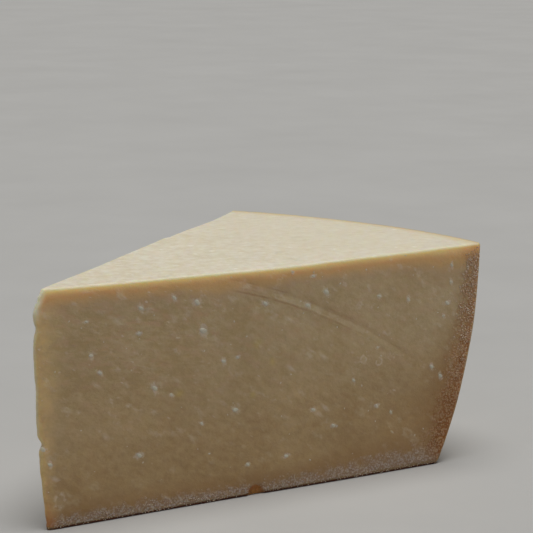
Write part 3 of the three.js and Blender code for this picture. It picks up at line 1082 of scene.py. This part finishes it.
def cut_colour(plan, at):
    """The paste in the upright cuts: darker and warmer low down, which is painted shade and bounced
    light, deeper by the rind, paler at the tip, and with a painted glow under the level cut's edge,
    where light from above comes through the paste."""
    share = 0.5 + at.tone + at.curds * 0.85 + at.grain * 0.8 + at.ridges * 1.3 + at.drag
    share = share - at.by_tip * 0.25
    rosy = plan.noise(plan.leaning(at.place, 2.5, DRAG_LEAN), 3.6, 3, 0.65)
    # the paste low down, darker and warmer as painted shade and bounced light
    low = plan.mix(PASTE_LOW_SHADED_DEEP, PASTE_LOW_SHADED_PALE, share)
    frayed = at.section + plan.noise(at.place, 6.0, 3, 0.6) * 1.2
    by_rind = plan.step(frayed, -2.6, 0.3)
    by_rind = by_rind * (1.0 - at.side * plan.step(at.height, 45.0, 100.0))
    # painted shade: darker low down towards the outer end
    low_outside_shade = plan.step(at.height, 62.0, 22.0) * plan.step(at.along, 120.0, 190.0)
    broken = plan.noise(plan.leaning(at.place, 1.6), 2.2, 3, 0.7)
    wander = plan.noise(at.place, 16.0, 3, 0.6) * plan.step(at.under_edge, 1.0, 8.0) * 9.0
    brow = (at.under_edge + wander) * (1.0 - plan.step(at.along, 180.0, 212.0) * 0.35)
    # painted glow by the rind's side near the top, where light from above comes through the paste
    glowing = plan.step(at.section, -0.9, 0.3) * at.side * plan.step(at.under_edge, 14.0, 3.0)
    crumbled = plan.step(plan.noise(at.place, 2.0, 2), -0.4, -0.1)
    return plan.layered(
        plan.mix(PASTE_DEEP, PASTE_PALE, share),
        (PASTE_ROSY, plan.step(rosy, -0.05, 0.2) * (at.by_tip * 0.3 + 0.4)),
        # painted shade and warm bounced light, darker and warmer low down
        (low, plan.step(at.height, 80.0, 10.0)),
        (PASTE_BY_RIND, by_rind * by_rind * 0.9),
        # painted shade low down towards the outer end
        (PASTE_BY_RIND, low_outside_shade * 0.26),
        (TIP_PALE, at.tip * (0.75 + at.curds * 1.4 + broken * 1.4)),
        (PASTE_ROSY, at.tip * plan.step(broken, 0.0, 0.25) * 0.6),
        (TORN, at.tip_edge * (0.8 + broken)),
        # painted glow under the level cut's edge, fading down from a pale edge through gold and
        # amber
        (PASTE_ROSY, plan.step(brow, 13.0, 7.0) * 0.4),
        (BROW_GLOW_AMBER, plan.step(brow, 10.0, 3.5) * 0.95),
        (BROW_GLOW_GOLD, plan.step(brow, 4.5, 1.0)),
        (BROW_GLOW_ORANGE, glowing * 0.45),
        (BROW_GLOW_PALE, plan.step(at.under_edge, 1.6, 0.2)),
        (TORN, at.torn * crumbled),
    )


def level_colour(plan, at):
    """The level cut, streaked by the blade, more so towards the tip."""
    sliced = plan.noise(plan.stretched(at.place, 0.3, 1.0, 1.0), 2.4, 3, 0.6)
    lively = 1.4 - plan.step(at.along, 60.0, 190.0) * 0.7
    share = 0.5 + (at.tone * 0.6 + at.curds * 1.6 + at.grain + sliced) * lively
    return plan.mix(LEVEL_DEEP, LEVEL_PALE, share)


def pale_marks(plan, at):
    """The pale marks of the upright cuts, from 0 to 1: smears about the crystals, flecks, scuffs
    near the tip, curds and rings."""
    blotched = at.halo + plan.noise(at.place, 1.2, 2, 0.7) * 1.2
    smeared = plan.step(blotched, 0.25, 0.8)
    flecks = plan.flecks(at.pulled, 5.6, 1.2, 0.6, 1.8)
    scuffs = plan.flecks(plan.leaning(at.place, 2.0, 2.0 * DRAG_LEAN), 3.2, 0.75, 0.5, 1.8)
    curdled = plan.step(plan.noise(plan.leaning(at.place, 1.7), 4.2, 3, 0.6), 0.06, 0.26)
    patchy = plan.step(plan.noise(at.place, 34.0, 2) + at.height * 0.004, 0.05, 0.4)
    pale = plan.larger(smeared * 0.55, flecks * 0.5)
    pale = plan.larger(pale, scuffs * at.by_tip * 0.62)
    pale = plan.larger(pale, curdled * (0.18 + patchy * 0.26))
    for sizes in PALE_RINGS:
        ring = plan.group("ring", dict(zip(RING_INPUTS, sizes)))
        pale = plan.larger(pale, ring * at.front * 0.5)
    return pale


def section_colour(plan, at):
    """The rind in section: crumb over darker gaps, redder and darker down the side."""
    pockets = plan.step(plan.noise(at.place, 5.0, 3, 0.6), -0.1, 0.2)
    down_side = plan.layered(
        SECTION_TAN,
        (SECTION_RED, plan.step(at.under_edge, 10.0, 50.0) * pockets),
        (SECTION_DARK, plan.step(at.under_edge, 45.0, 82.0) * 0.8),
    )
    gaps = plan.mix(SECTION_BROWN, down_side, at.side)
    lumps = plan.mix(SECTION_GREY, SECTION_CREAM, at.side)
    return plan.mix(gaps, lumps, at.crumb * (0.8 - at.side * 0.3))


def paste_material():
    plain = soft(0.75, (1.0, 0.65, 0.28), 8.0, 1.45)
    plan = Material("cheese_paste", {**plain, "Specular IOR Level": 0.4})
    at = paste_at(plan)
    pale = pale_marks(plan, at)
    top_flecks = plan.flecks(at.place, 9.0, 1.6, 0.4, 1.4)
    dent_shade = plan.flecks(plan.stretched(at.place, 0.5, 1.0, 1.0), 7.5, 1.5, 0.3, 2.2)
    crease = plan.group("crease", {}, output="Line")
    band = crease.other("Band") * at.front * (0.16 + at.curds * 0.5)
    by_foot = plan.step(at.height + at.curds * 8.0, 16.0, 3.0)
    skin_line = plan.mix(SKIN_LINE, SKIN_DEEP, plan.step(at.under_edge, 30.0, 85.0))
    at_skin = plan.step(at.section - at.side * 0.15, 0.66, 0.8)
    rim = plan.step(at.section + plan.noise(at.place, 5.0, 2) * 0.5, -0.3, 0.7)
    colour = plan.layered(
        cut_colour(plan, at),
        (level_colour(plan, at), at.level),
        (FLECK, pale * at.upright),
        (LEVEL_FLECK, top_flecks * at.level * 0.8),
        # painted shade in the level cut's small dents
        (LEVEL_DENT_SHADE, dent_shade * at.level * 0.55),
        (OILY, at.oily * 0.5),
        # painted shade along the crease's lines and over its upper line, and painted light on the
        # band between them
        (CREASE_SHADE_BROWN, crease * at.front * 0.34),
        (CREASE_SHADE_BROWN, crease.other("Shade") * at.front * 0.12),
        (FLECK, band),
        (section_colour(plan, at), at.in_section),
        (TIP_FOOT, at.tip * by_foot * at.upright * 0.85),
        (skin_line, at_skin * at.upright),
        (RIM_AMBER, rim * at.level * 0.75),
        (RIM_BROWN, plan.step(at.section, 0.55, 0.95) * at.level * 0.7),
        # dark rind at the foot, partly painted contact shadow
        (FOOT_EDGE_AND_SHADOW, plan.step(at.height, 1.5, 0.7) * (1.0 - at.tip * 0.5)),
        (CHIP_ORANGE, at.chip),
    )
    height = at.grain.other("Height") * 0.5 + at.crumb * at.in_section * 0.6 + pale * 0.5
    height = height + at.ridges * 0.5 + at.drag * 0.4 - crease * at.front * 0.15
    roughness = 0.52 + at.grain * 0.15 + at.in_section * 0.2
    return plan.finish(colour, roughness, height, 0.3)


def rind_material():
    plan = Material("cheese_rind", soft(0.6, (1.0, 0.5, 0.2), 2.0, 1.46))
    place = plan.place
    grain = plan.grain(0.9)
    scraped = plan.noise(plan.stretched(place, 0.12, 0.12, 1.0), 1.1, 4, 0.65)
    share = 0.55 + plan.mottling(22.0) * 1.1 + grain * 0.9 + scraped * 0.6
    pits = plan.flecks(place, 6.0, 0.8, 0.5, 1.2)
    pores = plan.flecks(place, 1.9, 0.22, 0.4, 0.3)
    stained = plan.step(plan.noise(place, 15.0, 4, 0.65), 0.06, 0.3)
    colour = plan.layered(
        plan.mix(RIND_DEEP, RIND_PALE, share),
        (RIND_STAIN, stained * 0.35),
        (RIND_STAIN, plan.larger(pits * 0.45, pores * 0.5)),
    )
    height = grain.other("Height") * 0.5 + scraped * 0.6 - pits * 0.6 - pores * 0.5
    return plan.finish(colour, 0.48 + grain * 0.25 + pits * 0.2, height, 0.3)


def crystal_material():
    plan = Material("tyrosine_crystal", soft(0.5, (1.0, 0.8, 0.6), 1.0, 1.5))
    grain = plan.grain(0.5)
    colour = plan.mix(CRYSTAL_DEEP, CRYSTAL_PALE, 0.5 + grain * 1.2)
    return plan.finish(colour, 0.4 + grain * 0.2, grain.other("Height"), 0.06)


def grain_material():
    """The grains, greyish along the foot, creamy up the side and brown low on it."""
    plan = Material("rind_grain", soft(0.5, (1.0, 0.6, 0.4), 0.8, 1.45))
    grain = plan.grain(0.4)
    share = 0.5 + plan.mottling(2.4) * 1.8 + grain * 0.5
    by_foot, up_side, low_side = (plan.mix(*pair, share) for pair in GRAIN_COLOURS)
    side, under_edge = plan.mark("side"), plan.mark("under_edge")
    colour = plan.layered(
        by_foot,
        (up_side, side * plan.step(under_edge, 2.0, 10.0)),
        (low_side, side * plan.step(under_edge, 45.0, 80.0)),
    )
    return plan.finish(colour, 0.6 + grain * 0.2, grain.other("Height"), 0.06)


# The studio: a soft light straight above, a faint even fill, and a pale floor that throws light
# back up at the cuts
LIGHT_STRENGTH = 2.83
LIGHT_SPREAD = math.radians(42.0)
LIGHT_LEAN = (math.radians(5.0), math.radians(2.0), 0.0)
FILL_COLOUR = (1.0, 0.96, 0.9, 1.0)
FILL_STRENGTH = 0.10
FLOOR_HALF = 6.0
FLOOR_DEEP = (0.40, 0.395, 0.38, 1.0)
FLOOR_PALE = (0.44, 0.435, 0.42, 1.0)


def set_stage():
    signs = ((-1, -1), (1, -1), (1, 1), (-1, 1))
    corners = [(x * FLOOR_HALF, y * FLOOR_HALF, 0.0) for x, y in signs]
    mesh = bpy.data.meshes.new("floor")
    mesh.from_pydata(corners, [], [(0, 1, 2, 3)])
    plan = Material("floor", {"IOR": 1.4})
    tone = plan.mottling(160.0)
    colour = plan.mix(FLOOR_DEEP, FLOOR_PALE, 0.5 + tone)
    mesh.materials.append(plan.finish(colour, 0.7 + tone * 0.1, tone, 0.1))
    put_in_scene("floor", mesh)

    light = bpy.data.lights.new("overhead", "SUN")
    light.energy = LIGHT_STRENGTH
    light.angle = LIGHT_SPREAD
    put_in_scene("overhead", light).rotation_euler = LIGHT_LEAN

    world = bpy.data.worlds.new("fill")
    world.use_nodes = True
    background = world.node_tree.nodes["Background"]
    background.inputs["Color"].default_value = FILL_COLOUR
    background.inputs["Strength"].default_value = FILL_STRENGTH
    bpy.context.scene.world = world


# The camera, solved from the photo together with the wedge: it stands off the front face, in
# millimetres from the wheel's axis, and looks slightly down
CAMERA_PLACE = np.array([-302.9, -719.1, 260.0])
CAMERA_TURN = math.radians(-29.79)
CAMERA_DIP = math.radians(10.62)
SENSOR_WIDTH = 36.0
FOCAL_LENGTH = 128.33


def set_camera():
    data = bpy.data.cameras.new("camera")
    data.sensor_width = SENSOR_WIDTH
    data.lens = FOCAL_LENGTH
    camera = put_in_scene("camera", data)
    camera.location = (WHEEL_AXIS + CAMERA_PLACE) * MM
    camera.rotation_euler = (math.pi / 2.0 - CAMERA_DIP, 0.0, CAMERA_TURN)
    bpy.context.scene.camera = camera
    bpy.context.scene.view_settings.view_transform = "Standard"


set_camera()
set_stage()

surface = {**SURFACE, "Paste": paste_material(), "Rind": rind_material()}
wedge = through_tree(build_wedge(), surface_tree(), "wedge", surface)
crystals = build_crystals(wedge, crystal_material())
grains = build_grains(wedge, grain_material())

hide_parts("cheese_wedge")
for piece in (wedge, crystals, grains):
    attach(piece, "root")
